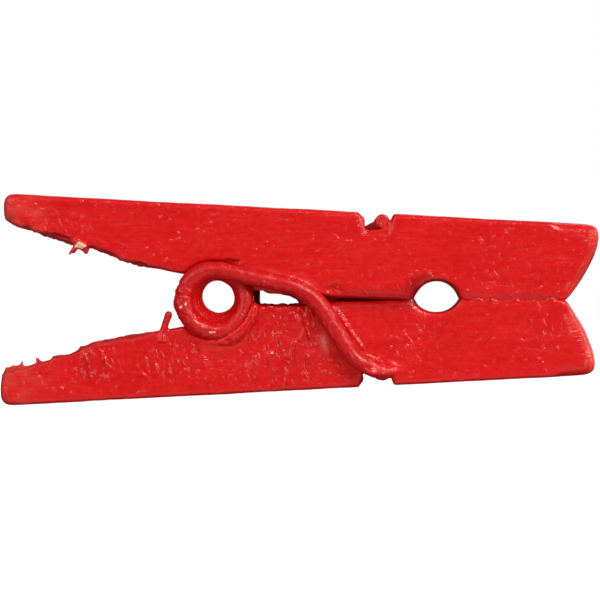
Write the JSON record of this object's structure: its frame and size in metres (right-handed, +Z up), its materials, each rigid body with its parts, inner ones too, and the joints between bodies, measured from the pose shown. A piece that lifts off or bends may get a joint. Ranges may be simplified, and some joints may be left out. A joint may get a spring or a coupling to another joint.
{
  "type": "clothespin",
  "caption": "Mini wooden spring clothespin: tapered prongs held shut by a coiled wire spring, with a round hole for the line and a flared mouth, all painted red.",
  "frame": {"origin": "on the plane that the lower prong lies on, under the middle of the overall box", "axes": "+X towards the jaws, +Y across the width, along the coil, +Z up through the prongs"},
  "size_m": [0.0256, 0.0044, 0.0089],
  "materials": {
    "painted_wood": "semi-gloss red acrylic paint, brushed on, over bare wood",
    "painted_wire": "the same red paint over steel wire, scraped through in places"
  },
  "bodies": {
    "lower_jaw": {"lower_prong": "painted_wood", "spring_coil": "painted_wire", "spring_arm_lower": "painted_wire"},
    "upper_jaw": {"upper_prong": "painted_wood", "spring_arm_upper": "painted_wire"}
  },
  "joints": [
    {"name": "jaw_hinge", "type": "hinge", "parent": "lower_jaw", "child": "upper_jaw", "pos_m": [-0.00356, 0, 0.00394], "axis": [0, -1, 0], "range_deg": [0, 38], "stiffness_Nm_per_rad": 0.03, "springref_deg": -0.23}
  ]
}
